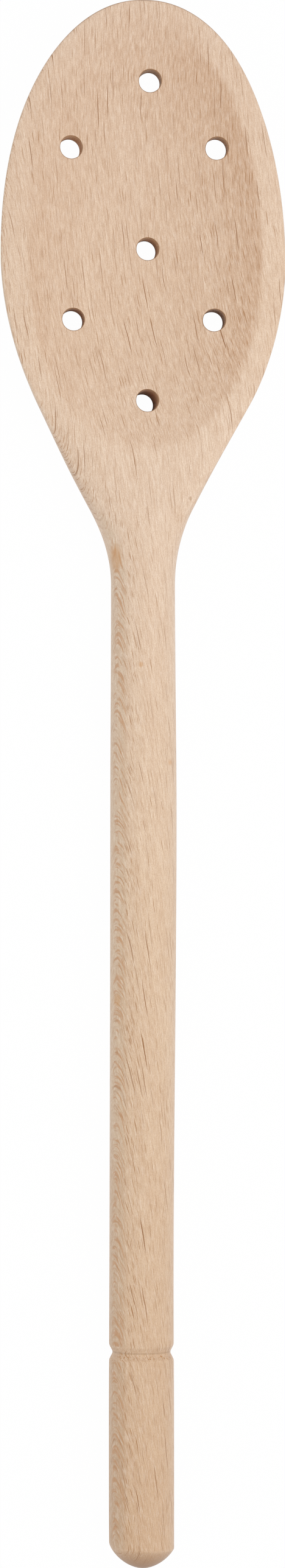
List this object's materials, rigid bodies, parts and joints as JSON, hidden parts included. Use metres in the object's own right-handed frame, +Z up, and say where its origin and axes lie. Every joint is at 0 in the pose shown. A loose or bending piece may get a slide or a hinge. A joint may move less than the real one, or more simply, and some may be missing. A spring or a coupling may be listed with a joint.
{
  "type": "wooden serving spoon",
  "caption": "Serving spoon of plain beech with an oval bowl, round drain holes, a turned handle and a groove near its domed end.",
  "frame": {"origin": "under the middle of the spoon's length and of the bowl's width, on the surface that its back lies on", "axes": "+Y towards the bowl's tip, +X to the right seen from above with the tip up, +Z up out of the hollow"},
  "size_m": [0.0634, 0.35, 0.0154],
  "materials": {
    "beech": "unfinished, fine sanded"
  },
  "bodies": {
    "root": {"spoon": "beech"}
  },
  "joints": []
}
